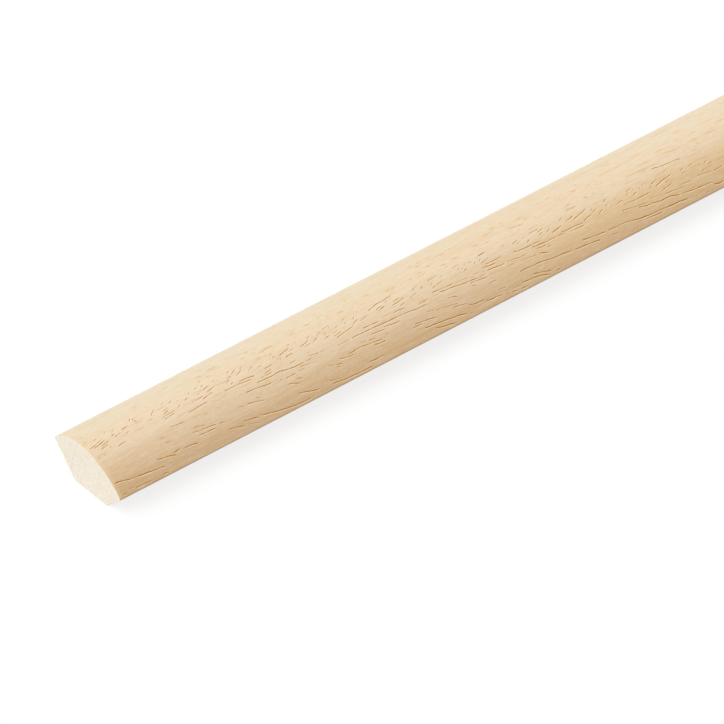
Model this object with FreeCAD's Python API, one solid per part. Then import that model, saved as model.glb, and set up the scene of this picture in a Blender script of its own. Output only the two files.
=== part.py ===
"""Quarter round moulding: one long strip of pale hardwood, run to a quarter round section.

The section has two flat legs at a right angle, one for the wall and one for the floor, and a rounded
face that sweeps from the tip of one leg to the tip of the other as a quarter of an ellipse. The back
corner, where the legs would meet, is planed off by a relief bevel, so that the legs seat in a room's
corner that isn't clean. The strip is sawn square at both ends.

It lies as it rests on a table: on its relief bevel, rounded face up. Millimetres, +X along the length,
+Y from the floor leg's side to the wall leg's side, +Z up. The origin is the middle of the bottom of
the box round the strip.
"""

import FreeCAD
import Part

import math
import os

# Sizes of the strip and its section
LENGTH = 2387.6
WALL_LEG = 19.05
FLOOR_LEG = 15.875

# What the relief bevel takes off each leg, measured from the back corner
RELIEF_ON_WALL_LEG = 7.7
RELIEF_ON_FLOOR_LEG = 8.5

# Radii of the eased long edges: the two tips of the rounded face, and the two edges of the bevel
TIP_EASE = 0.45
RELIEF_EASE = 0.3

# A rational curve of three poles is an exact quarter ellipse with this weight on its middle pole
QUARTER_WEIGHT = math.sqrt(0.5)

# How far from a corner a long edge may lie and still be that corner's edge
SAME_PLACE = 0.001


def leg_directions():
    """Unit vectors along the wall leg and the floor leg, turned so that the bevel lies level."""
    bevel_width = math.hypot(RELIEF_ON_WALL_LEG, RELIEF_ON_FLOOR_LEG)
    along_y = RELIEF_ON_WALL_LEG / bevel_width
    along_z = RELIEF_ON_FLOOR_LEG / bevel_width
    wall = FreeCAD.Vector(0, along_y, along_z)
    floor = FreeCAD.Vector(0, -along_z, along_y)
    return wall, floor


def section_corners():
    """The section's corners, measured from the back corner that the bevel takes off."""
    wall, floor = leg_directions()
    return {
        "wall_tip": wall * WALL_LEG,
        "wall_relief": wall * RELIEF_ON_WALL_LEG,
        "floor_relief": floor * RELIEF_ON_FLOOR_LEG,
        "floor_tip": floor * FLOOR_LEG,
    }


def rounded_edge(start, end):
    """A quarter ellipse about the back corner, square to both legs, from one tip to the other."""
    curve = Part.BezierCurve()
    curve.setPoles([start, start + end, end])
    curve.setWeight(2, QUARTER_WEIGHT)
    return curve.toShape()


def section_face(corners):
    """The closed section: floor leg, bevel, wall leg and rounded face."""
    floor_leg = Part.makeLine(corners["floor_tip"], corners["floor_relief"])
    bevel = Part.makeLine(corners["floor_relief"], corners["wall_relief"])
    wall_leg = Part.makeLine(corners["wall_relief"], corners["wall_tip"])
    rounded = rounded_edge(corners["wall_tip"], corners["floor_tip"])
    return Part.Face(Part.Wire([floor_leg, bevel, wall_leg, rounded]))


def edge_at(solid, corner):
    """The long edge of the strip that runs through one corner of its section."""
    for edge in solid.Edges:
        offsets = [math.hypot(v.Y - corner.y, v.Z - corner.z) for v in edge.Vertexes]
        if max(offsets) < SAME_PLACE:
            return edge
    raise ValueError("the strip has no long edge at that corner")


def eased(solid, corners, names, radius):
    """The strip with the long edges at the named corners rounded over."""
    return solid.makeFillet(radius, [edge_at(solid, corners[name]) for name in names])


def centred(solid):
    """The strip with the origin at the middle of the bottom of the box round it."""
    box = solid.optimalBoundingBox(False)
    solid.translate(FreeCAD.Vector(-box.Center.x, -box.Center.y, -box.ZMin))
    return solid


def moulding():
    """The whole strip, in the place where it is stored."""
    corners = section_corners()
    strip = section_face(corners).extrude(FreeCAD.Vector(LENGTH, 0, 0))
    strip = eased(strip, corners, ("wall_tip", "floor_tip"), TIP_EASE)
    strip = eased(strip, corners, ("wall_relief", "floor_relief"), RELIEF_EASE)
    return centred(strip)


def main():
    os.makedirs("parts", exist_ok=True)
    strip = moulding()
    strip.exportStep("parts/quarter_round.step")
    box = strip.optimalBoundingBox(False)
    print("valid", strip.isValid(), "solids", len(strip.Solids), "faces", len(strip.Faces))
    print("size", round(box.XLength, 3), round(box.YLength, 3), round(box.ZLength, 3))
    print("volume in cubic centimetres", round(strip.Volume / 1000, 2))


main()
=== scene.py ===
"""Quarter round moulding: the looks of the strip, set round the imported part.

The strip is one piece of pale hardwood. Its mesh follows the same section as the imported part, finely
enough for smooth shading, and the pores of the wood are cut into it as shallow grooves, denser and
shorter over the crown and longer down the flank. The two ends are bare and sawn, and the legs and the
bevel are planed and left bare.

Lengths in the named values are millimetres, and angles are degrees. Points become metres as they go
into a mesh. "Arc" is the distance round the rounded face from where the wall leg's tip would be if it
were sharp, and x is the distance from the near end. In the materials X and Y are the frame's own.
"""

import math
import random
from typing import NamedTuple

import bpy
import numpy as np
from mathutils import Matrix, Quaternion, Vector, noise
from mathutils.geometry import delaunay_2d_cdt


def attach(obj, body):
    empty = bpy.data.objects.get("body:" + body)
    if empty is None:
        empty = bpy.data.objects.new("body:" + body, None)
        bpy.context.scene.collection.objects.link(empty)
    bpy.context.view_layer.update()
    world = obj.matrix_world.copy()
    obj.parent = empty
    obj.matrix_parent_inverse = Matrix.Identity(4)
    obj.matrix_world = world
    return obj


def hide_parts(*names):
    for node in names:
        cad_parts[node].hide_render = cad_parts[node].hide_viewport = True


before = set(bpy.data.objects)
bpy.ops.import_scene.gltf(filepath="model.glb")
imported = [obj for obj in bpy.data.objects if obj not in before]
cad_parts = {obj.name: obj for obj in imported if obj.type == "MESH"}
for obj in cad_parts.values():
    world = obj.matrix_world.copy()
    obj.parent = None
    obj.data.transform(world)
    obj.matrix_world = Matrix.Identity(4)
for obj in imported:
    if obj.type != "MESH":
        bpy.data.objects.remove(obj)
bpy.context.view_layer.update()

MM = 0.001

# The strip and its section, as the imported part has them
LENGTH = 2387.6
WALL_LEG = 19.05
FLOOR_LEG = 15.875
RELIEF_ON_WALL_LEG = 7.7
RELIEF_ON_FLOOR_LEG = 8.5
TIP_EASE = 0.45
RELIEF_EASE = 0.3

# The ease round the sawn ends, which only the looks have
SAW_EASE = 0.05

# The camera, as fitted to the outline in the photograph
CAMERA_AZIMUTH = -39.94
CAMERA_ELEVATION = 38.85
CAMERA_ROLL = 0.355
CAMERA_DISTANCE = 1920.9
CAMERA_LENS = 407.65
CAMERA_SENSOR = 36.0
AIM_FROM_NEAR_END = 74.46
AIM_Y = -9.39
AIM_Z = 6.0

# Steps of the mesh round the section's outline. Each step of the rounded face is traced in finer ones.
HALF_BEVEL_STEPS = 2
RELIEF_STEPS = 2
WALL_LEG_STEPS = 4
FLOOR_LEG_STEPS = 3
TIP_STEPS = 3
FACE_STEPS = 24
FINE_STEPS = 16

# Halvings that find where a tip's ease meets the face, and steps that measure what the ease takes off
HALVINGS = 50
EASED_STEPS = 20

# Mesh spacing along the strip and along a groove, how clear of a groove the rows' points stay, and how
# near to each other two points count as one
ROW_SPACING = 6.0
STATION_SPACING = 2.6
PLACED_STATION_SPACING = 1.2
ROW_CLEARANCE = 0.25
SAME_POINT = 1e-7

# How far the strip is squeezed while the triangles are chosen, so that they come out long along it
SQUEEZE = 0.25

# How far a pore's line wanders, at most and as a share of its length, over what length it does so, and how
# finely it is followed
SWAY = 0.16
SWAY_SHARE = 0.05
SWAY_LENGTH = 2.6
LINE_STEP = 0.3

# How much a groove swells and shrinks along its line, and how far it may swell beyond its kind's width
SWELL = 0.35
WIDEST_SWELL = 1.25

# How dark a groove is along its line, as shares of its darkness: its mean, its swing, its least, and at
# its two ends
SHADE_MEAN = 0.86
SHADE_SWING = 1.2
SHADE_LEAST = 0.3
SHADE_AT_ENDS = 0.5

# How strong the painted highlight on an open pore's lower wall is, as a share of how dark its upper one is
HIGHLIGHT_SHARE = 0.7

# The greatest share of its length that a groove tapers over at each end, for a pore and for a stain
PORE_TAPER_SHARE = 0.3
STAIN_TAPER_SHARE = 0.42

# The share of its taper that a placed line runs on by at each end, where its groove only begins, and the
# share of a groove's reach that it keeps clear at its very ends
RUN_OUT = 0.4
END_ROOM = 0.3

# How far from the sawn ends a groove stays, and a strewn one's middle
GROOVE_MARGIN = 0.6
STREWN_MARGIN = 0.5

# A feather is a column of short pores. They lie this far apart round the face, each set off this far along
# the strip, and each strays by a share of the feather's pore length along it and by a little round it.
FEATHER_STEP = 0.62
FEATHER_LEAN = 0.45
FEATHER_STRAY_ALONG = 0.3
FEATHER_STRAY_ROUND = 0.06

# Feathers over the crown: their spacing, how far they stray from the middle of their band, and the least
# and the most of their pores, of their pores' length and of their tilt, which is for a pore 1 mm long
FEATHER_SPACING = 4.6
FEATHER_STRAY = 1.0
FEATHER_PORES = (2, 7)
FEATHER_LENGTHS = (0.8, 2.6)
FEATHER_TILTS = (6.0, 24.0)

# The arc at the middle of the feathered band: at the near end, what it gains over the placed stretch, and
# beyond that its mean, its swing, the length of a swing and the length over which that sets in
BAND_START = 12.6
BAND_GAIN = 7.0
BAND_MEAN = 15.2
BAND_SWING = 5.5
BAND_SWING_LENGTH = 260.0
BAND_BLEND_LENGTH = 150.0

# Pores of the planed legs: how many lie on a square millimetre, how far they stay from the leg's borders,
# the size of the noise's patches along and across, below what noise a patch has none, and their least,
# middle and greatest length
LEG_PORES_PER_AREA = 0.05
LEG_MARGIN = 0.2
LEG_PATCH = (14.0, 2.5)
LEG_PATCH_BARE = -0.1
LEG_PORE_LENGTHS = (0.8, 2.6, 14.0)

# The map for baking: how many lengths the skin is cut into, the millimetres left free at the ends of each,
# their share of the map's height and the gap between them, and the place and size of the sawn ends
BAKE_PARTS = 4
BAKE_MARGIN = 8.0
BAKE_SKIN = 0.93
BAKE_GAP = 0.01
BAKE_END_AT = 0.02
BAKE_END_STEP = 0.25
BAKE_END_WIDTH = 0.2
BAKE_END_HEIGHT = 0.05

RNG = random.Random(17)


def place_object(name, data):
    """A new object in the scene, which turns by a quaternion."""
    placed = bpy.data.objects.new(name, data)
    bpy.context.scene.collection.objects.link(placed)
    placed.rotation_mode = "QUATERNION"
    return placed


def make_camera():
    """A long lens, level apart from a small roll, aimed at the stretch that the photograph shows."""
    azimuth = math.radians(CAMERA_AZIMUTH)
    elevation = math.radians(CAMERA_ELEVATION)
    back = Vector((
        math.sin(azimuth) * math.cos(elevation),
        -math.cos(azimuth) * math.cos(elevation),
        math.sin(elevation),
    ))
    aim = Vector((AIM_FROM_NEAR_END - LENGTH / 2, AIM_Y, AIM_Z)) * MM
    data = bpy.data.cameras.new("camera")
    data.lens = CAMERA_LENS
    data.sensor_width = CAMERA_SENSOR
    camera = place_object("camera", data)
    camera.location = aim + back * CAMERA_DISTANCE * MM
    turn = Quaternion((0, 0, 1), math.radians(CAMERA_ROLL))
    camera.rotation_quaternion = (-back).to_track_quat("-Z", "Y") @ turn
    bpy.context.scene.camera = camera


class Outline:
    """The section's outline, run once round from the middle of the bevel.

    Points and outward normals are (y, z). "Round" is the distance along the outline from its start.
    Columns are the points that the mesh takes, and borders are those of them where a stretch ends.
    """

    def __init__(self):
        bevel_width = math.hypot(RELIEF_ON_WALL_LEG, RELIEF_ON_FLOOR_LEG)
        self.wall = np.array((RELIEF_ON_WALL_LEG, RELIEF_ON_FLOOR_LEG)) / bevel_width
        self.floor = np.array((-RELIEF_ON_FLOOR_LEG, RELIEF_ON_WALL_LEG)) / bevel_width
        self.points = []
        self.normals = []
        self.columns = []
        self.borders = [0]
        self.trace()
        self.place()
        self.sharp_tip = self.round[self.face_from] - self.arc_lost_to_ease()

    def ellipse(self, turn):
        """A point of the rounded face and its normal, turn running from the wall leg to the floor leg."""
        c, s = math.cos(turn), math.sin(turn)
        point = self.wall * WALL_LEG * c + self.floor * FLOOR_LEG * s
        normal = self.wall * c / WALL_LEG + self.floor * s / FLOOR_LEG
        return point, normal / np.linalg.norm(normal)

    def tip(self, at_wall):
        """Where a tip's ease meets the rounded face, as a turn, and the ease's middle."""
        across = self.floor if at_wall else self.wall
        low, high = 0.0, math.pi / 4
        for _ in range(HALVINGS):
            half = (low + high) / 2
            turn = half if at_wall else math.pi / 2 - half
            point, normal = self.ellipse(turn)
            middle = point - normal * TIP_EASE
            if middle @ across < TIP_EASE:
                low = half
            else:
                high = half
        return turn, middle

    def arc_lost_to_ease(self):
        """The arc from where the wall leg's tip would be to where its ease meets the rounded face."""
        turn, _ = self.tip(True)
        lost = np.array([self.ellipse(turn * i / EASED_STEPS)[0] for i in range(EASED_STEPS + 1)])
        return float(np.hypot(*np.diff(lost, axis=0).T).sum())

    def corner(self, point, into, out_of):
        """Middle and tangent distance of the ease at a corner of two straight faces, by their directions."""
        half = math.acos(float(into @ out_of)) / 2
        reach = RELIEF_EASE * math.tan(half)
        inward = (out_of - into) / np.linalg.norm(out_of - into)
        return point + inward * RELIEF_EASE / math.cos(half), reach

    def add(self, point, normal, is_column=True):
        """Takes one more point of the outline, which the mesh takes too if it is a column."""
        if is_column:
            self.columns.append(len(self.points))
        self.points.append(np.array(point, float))
        self.normals.append(np.array(normal, float))

    def border(self):
        """Notes that a stretch ends at the last point, and gives its number."""
        self.borders.append(self.columns[-1])
        return self.columns[-1]

    def add_line(self, end, normal, steps):
        """A straight stretch from the last point on."""
        start = self.points[-1]
        for i in range(1, steps + 1):
            self.add(start + (end - start) * i / steps, normal)
        return self.border()

    def add_arc(self, middle, radius, first, last, steps):
        """An ease from one face's normal to the next one's."""
        a = math.atan2(first[1], first[0])
        b = math.atan2(last[1], last[0])
        b += 2 * math.pi if b < a else 0.0
        for i in range(1, steps + 1):
            angle = a + (b - a) * i / steps
            normal = np.array((math.cos(angle), math.sin(angle)))
            self.add(middle + normal * radius, normal)
        return self.border()

    def add_face(self, first_turn, last_turn):
        """The rounded face, traced finely, with only some of its points as columns."""
        steps = FACE_STEPS * FINE_STEPS
        for i in range(1, steps + 1):
            point, normal = self.ellipse(first_turn + (last_turn - first_turn) * i / steps)
            self.add(point, normal, i % FINE_STEPS == 0)
        return self.border()

    def trace(self):
        """Every face and ease in turn."""
        wall_relief = self.wall * RELIEF_ON_WALL_LEG
        floor_relief = self.floor * RELIEF_ON_FLOOR_LEG
        along_bevel = (wall_relief - floor_relief) / np.linalg.norm(wall_relief - floor_relief)
        middle_of_bevel = (wall_relief + floor_relief) / 2
        down = np.array((0.0, -1.0))
        wall_normal = -self.floor
        floor_normal = -self.wall
        wall_ease, wall_reach = self.corner(wall_relief, along_bevel, self.wall)
        floor_ease, floor_reach = self.corner(floor_relief, -self.floor, along_bevel)
        first_turn, wall_tip = self.tip(True)
        last_turn, floor_tip = self.tip(False)
        face_starts, face_ends = self.ellipse(first_turn)[1], self.ellipse(last_turn)[1]

        self.add(middle_of_bevel, down)
        self.add_line(wall_relief - along_bevel * wall_reach, down, HALF_BEVEL_STEPS)
        self.wall_leg_from = self.add_arc(wall_ease, RELIEF_EASE, down, wall_normal, RELIEF_STEPS)
        self.wall_leg_to = self.add_line(wall_tip + wall_normal * TIP_EASE, wall_normal, WALL_LEG_STEPS)
        self.face_from = self.add_arc(wall_tip, TIP_EASE, wall_normal, face_starts, TIP_STEPS)
        self.face_to = self.add_face(first_turn, last_turn)
        self.floor_leg_from = self.add_arc(floor_tip, TIP_EASE, face_ends, floor_normal, TIP_STEPS)
        leg_end = floor_relief + self.floor * floor_reach
        self.floor_leg_to = self.add_line(leg_end, floor_normal, FLOOR_LEG_STEPS)
        self.add_arc(floor_ease, RELIEF_EASE, floor_normal, down, RELIEF_STEPS)
        self.add_line(middle_of_bevel, down, HALF_BEVEL_STEPS)

    def place(self):
        """Moves the outline to where the part lies, and measures the way round it."""
        points = np.array(self.points)
        points[:, 0] -= (points[:, 0].min() + points[:, 0].max()) / 2
        points[:, 1] -= points[:, 1].min()
        self.points = points
        self.normals = np.array(self.normals)
        steps = np.hypot(*np.diff(points, axis=0).T)
        self.round = np.concatenate(([0.0], np.cumsum(steps)))

    def at(self, round_values):
        """Points and normals at distances along the outline."""
        points = [np.interp(round_values, self.round, axis) for axis in self.points.T]
        normals = np.array([np.interp(round_values, self.round, axis) for axis in self.normals.T])
        return np.stack(points, 1), (normals / np.hypot(*normals)).T


# The stretch whose pores are placed one by one. Each entry is one line: the x and arc of its points in turn.
PLACED_LENGTH = 194.0
CROWN_PORES = (
    (1.0, 12.9, 2.0, 12.85, 5.5, 12.0), (2.0, 13.4, 5.6, 12.6), (3.3, 14.4, 5.6, 14.0),
    (3.4, 11.3, 4.2, 11.05), (3.8, 13.7, 6.3, 13.3), (7.0, 10.65, 7.45, 10.35),
    (7.3, 15.7, 8.6, 15.5, 9.8, 15.4), (7.7, 12.5, 8.7, 12.2), (8.3, 11.6, 9.4, 11.1),
    (8.3, 13.1, 10.3, 12.8), (11.0, 12.1, 12.8, 11.9), (11.3, 13.6, 12.1, 13.4), (14.2, 10.8, 14.9, 10.2),
    (15.0, 11.0, 15.6, 10.65), (15.0, 11.75, 15.7, 11.4), (19.5, 12.3, 20.4, 11.6, 21.4, 11.0),
    (21.2, 14.45, 22.5, 14.3, 25.2, 13.95), (21.5, 15.05, 22.4, 14.95, 24.6, 14.8),
    (22.2, 13.75, 23.7, 13.3), (27.5, 16.35, 29.0, 16.3, 33.3, 16.05), (29.1, 12.85, 30.0, 12.6),
    (30.0, 14.4, 31.8, 14.35, 33.3, 14.25), (30.95, 11.8, 31.45, 11.5),
    (32.8, 14.95, 34.2, 14.7, 36.0, 14.3), (34.5, 12.7, 36.5, 12.25), (34.8, 13.8, 36.5, 13.45, 37.9, 13.0),
    (38.3, 11.6, 38.95, 11.3), (38.7, 15.5, 41.2, 15.65, 44.0, 15.75, 46.4, 16.05),
    (41.2, 14.8, 42.1, 14.55), (41.4, 13.1, 42.9, 12.75), (42.8, 11.5, 43.6, 11.2),
    (43.4, 12.25, 45.2, 11.5), (43.5, 15.1, 45.4, 15.2, 47.8, 15.5), (46.1, 12.05, 47.0, 11.7),
    (50.1, 16.4, 52.4, 16.1), (51.0, 15.2, 53.4, 15.05), (54.7, 13.6, 55.4, 13.4),
    (56.6, 13.75, 58.6, 13.4, 60.0, 13.2), (57.5, 15.05, 59.8, 14.8), (62.4, 14.35, 64.0, 14.1, 65.4, 13.7),
    (65.5, 13.2, 66.4, 12.8), (66.2, 14.6, 67.6, 14.3), (68.0, 13.6, 69.5, 13.15),
    (69.2, 15.35, 70.8, 15.15), (71.8, 16.6, 73.5, 16.5, 77.0, 16.0, 77.7, 15.6, 78.4, 15.0, 79.4, 14.75),
    (78.6, 14.3, 79.4, 13.6), (83.4, 14.05, 85.0, 13.7, 87.0, 13.4, 88.5, 13.4, 91.0, 13.1),
    (85.2, 14.9, 87.1, 14.5), (85.7, 15.45, 87.6, 15.0), (88.5, 14.15, 89.3, 13.9),
    (89.1, 15.8, 91.3, 15.55, 93.3, 15.25), (96.4, 14.55, 97.9, 14.1, 98.8, 13.9),
    (98.4, 15.25, 99.4, 14.95), (101.2, 16.55, 103.0, 16.3, 104.7, 15.95), (101.3, 15.55, 102.0, 15.35),
    (110.0, 15.25, 110.8, 15.0), (110.5, 15.75, 111.6, 15.5), (111.0, 16.3, 112.2, 16.05),
    (112.0, 15.0, 112.9, 14.7), (114.6, 15.9, 115.2, 15.5), (116.3, 15.8, 116.9, 15.4),
    (117.0, 14.45, 118.3, 14.5, 119.2, 14.35), (126.4, 15.75, 128.3, 15.5), (127.5, 16.4, 128.7, 16.2),
    (131.8, 15.5, 132.8, 15.3, 134.8, 15.35), (134.1, 16.1, 135.9, 15.8),
    (171.0, 14.95, 173.3, 15.4, 175.2, 15.55, 179.6, 15.95),
)
FLANK_PORES = (
    (21.2, 17.4, 22.7, 17.7, 25.0, 17.9), (26.3, 20.3, 27.6, 20.6, 29.0, 20.8),
    (27.5, 21.4, 29.5, 21.6, 31.6, 22.0), (41.5, 21.0, 44.2, 21.6, 46.0, 22.05),
    (42.9, 18.5, 46.0, 18.65, 48.0, 19.0, 50.2, 19.2),
    (47.0, 17.6, 50.0, 17.7, 53.8, 17.65, 55.5, 17.95, 58.2, 18.3, 60.5, 18.3),
    (53.7, 21.4, 55.2, 21.8, 56.4, 22.4), (54.0, 19.75, 57.0, 19.8), (56.4, 21.0, 57.8, 21.5),
    (56.6, 18.55, 58.0, 18.75, 60.4, 19.0), (68.9, 21.5, 70.0, 21.85, 73.0, 22.25),
    (71.6, 21.5, 75.0, 21.4, 79.0, 21.65, 81.6, 22.1),
    (75.0, 18.5, 79.5, 18.55, 84.5, 18.75, 87.8, 18.9, 90.8, 19.0, 94.3, 19.4, 97.2, 19.55),
    (78.4, 20.9, 80.3, 21.1), (79.1, 17.5, 81.3, 17.65, 83.5, 17.85),
    (79.7, 19.8, 81.8, 20.05, 83.9, 20.25), (83.9, 19.6, 86.2, 19.9, 88.5, 20.05),
    (88.3, 17.5, 90.0, 17.65, 91.9, 17.9), (91.0, 16.75, 92.6, 16.5),
    (100.3, 17.5, 102.5, 17.65, 106.3, 17.95), (102.0, 18.2, 104.3, 18.55, 109.3, 19.15, 112.8, 19.45),
    (102.8, 20.65, 104.3, 20.9, 105.4, 21.25), (110.3, 20.5, 111.7, 21.05),
    (110.4, 19.75, 113.3, 20.15, 115.3, 20.3), (115.6, 17.8, 117.3, 18.0, 119.3, 18.2),
    (116.3, 19.0, 118.5, 19.15, 121.3, 19.2), (116.8, 17.25, 119.3, 17.4, 121.0, 17.55, 121.9, 17.3),
    (125.2, 17.75, 126.2, 18.05, 128.0, 18.25, 131.5, 18.3, 133.3, 18.45),
    (129.3, 18.75, 130.8, 18.9, 132.0, 19.1, 134.3, 19.25, 136.3, 19.15, 138.3, 19.4, 140.0, 19.5),
    (130.1, 17.15, 131.2, 16.9), (131.0, 19.7, 132.8, 19.95, 134.0, 19.95),
    (131.0, 21.0, 131.8, 21.3, 133.5, 21.9), (131.8, 20.4, 133.5, 20.5, 135.0, 20.65),
    (136.3, 17.15, 137.0, 16.8, 137.8, 16.5), (137.3, 18.0, 139.3, 17.8, 140.7, 17.4),
    (139.3, 18.75, 141.5, 19.05, 143.8, 19.1, 146.0, 19.25), (141.8, 19.75, 142.8, 19.85, 145.8, 19.95),
    (142.1, 17.0, 143.3, 16.8, 145.0, 16.5), (144.3, 17.45, 146.3, 17.05, 148.3, 16.6, 149.3, 16.3),
    (146.6, 18.95, 148.0, 18.6, 149.5, 18.4), (150.0, 17.25, 150.6, 17.1), (150.0, 18.0, 151.3, 17.65),
    (151.3, 19.0, 152.9, 18.6), (154.0, 18.3, 155.2, 17.85), (154.1, 16.95, 155.5, 16.55),
    (157.0, 21.05, 158.5, 21.3, 160.0, 21.45, 161.8, 21.7, 164.0, 22.05),
    (158.6, 19.95, 159.5, 20.05, 160.1, 19.8, 161.5, 20.25, 162.5, 20.1, 166.5, 20.1),
    (160.6, 18.0, 161.6, 17.75), (161.0, 17.3, 162.9, 17.0), (162.2, 18.85, 163.6, 18.6),
    (163.8, 18.35, 165.0, 18.0), (166.9, 19.3, 168.0, 19.0), (168.1, 18.45, 168.9, 18.4, 170.0, 18.1),
    (169.0, 19.45, 170.8, 19.1, 172.3, 18.9, 174.3, 18.55), (170.0, 20.95, 173.2, 20.8),
    (177.3, 18.8, 178.4, 18.6), (184.2, 19.85, 185.2, 19.6), (184.8, 20.6, 186.3, 20.5),
)
LOW_PORES = (
    (0.5, 23.3, 3.0, 23.6, 4.2, 24.0, 6.4, 24.15, 9.5, 24.6, 11.0, 24.8, 14.5, 25.1), (1.0, 26.6, 3.4, 26.7),
    (5.0, 26.4, 8.5, 26.6, 11.5, 26.72), (12.4, 26.7, 15.5, 26.7),
    (13.3, 22.9, 16.5, 23.5, 18.5, 24.0), (17.2, 23.15, 18.5, 23.2, 20.3, 23.2),
    (20.8, 23.4, 22.5, 23.5, 25.0, 23.9), (26.2, 22.4, 28.6, 22.6, 31.0, 22.65), (31.8, 22.1, 33.6, 22.25),
    (33.5, 24.3, 36.0, 24.7, 38.2, 25.4), (38.1, 24.2, 40.2, 24.55, 42.2, 24.9),
    (43.2, 24.9, 45.0, 25.2, 47.5, 25.8, 50.0, 26.15, 52.5, 26.5, 58.5, 26.72),
    (54.6, 24.35, 57.0, 24.9, 59.4, 25.55, 60.4, 25.65),
    (64.0, 26.1, 65.5, 26.2, 67.7, 26.4, 71.0, 26.6, 76.5, 26.7), (67.4, 22.5, 69.1, 22.8),
    (75.5, 25.4, 77.0, 25.65, 79.7, 25.6), (79.1, 22.4, 82.2, 22.75), (90.6, 23.05, 93.1, 23.2),
    (91.4, 22.5, 93.3, 22.75, 95.5, 22.95, 97.7, 23.4),
    (93.2, 24.3, 95.2, 24.6, 97.5, 24.8, 100.0, 25.1, 102.8, 25.3, 105.3, 26.0),
    (95.8, 25.5, 98.0, 26.0, 100.0, 26.5, 102.6, 26.7), (100.0, 22.0, 102.0, 22.3, 104.3, 22.7),
    (102.2, 22.9, 104.3, 23.35, 106.6, 23.8), (106.8, 24.15, 108.2, 24.6, 111.2, 24.95),
    (111.6, 25.25, 112.9, 25.5, 114.5, 25.6, 116.3, 25.8), (119.0, 26.2, 120.5, 26.5),
    (121.8, 26.6, 124.8, 26.7),
    (122.6, 25.25, 125.0, 25.55, 127.0, 25.7, 128.8, 26.15, 130.5, 26.6, 134.0, 26.72),
    (123.6, 22.9, 125.0, 22.85, 128.8, 23.0, 131.5, 23.25, 133.3, 23.5, 136.8, 23.8, 139.3, 24.05),
    (126.5, 24.8, 127.3, 24.95, 129.5, 25.5, 131.5, 26.0), (132.3, 26.15, 133.8, 26.25),
    (139.6, 24.1, 142.3, 24.3, 145.5, 24.6, 147.6, 24.95),
    (143.0, 22.9, 146.0, 23.25, 147.8, 23.55, 150.0, 23.75),
    (150.3, 23.8, 155.0, 23.9, 157.3, 24.2, 159.3, 24.65, 160.5, 24.8, 164.3, 25.0, 167.5, 25.25,
     175.0, 25.7),
    (161.5, 22.2, 162.8, 22.5, 164.0, 22.8, 165.3, 22.7, 166.8, 23.1, 169.3, 23.3, 171.3, 23.35,
     173.3, 24.0),
    (161.8, 25.5, 164.5, 25.7, 166.8, 25.85), (171.0, 24.9, 173.3, 25.0),
    (173.8, 23.9, 176.3, 24.3, 180.0, 24.65, 183.3, 24.9), (183.3, 25.5, 184.8, 26.0, 186.3, 25.7),
    (185.3, 22.6, 188.0, 22.5),
)
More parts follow.
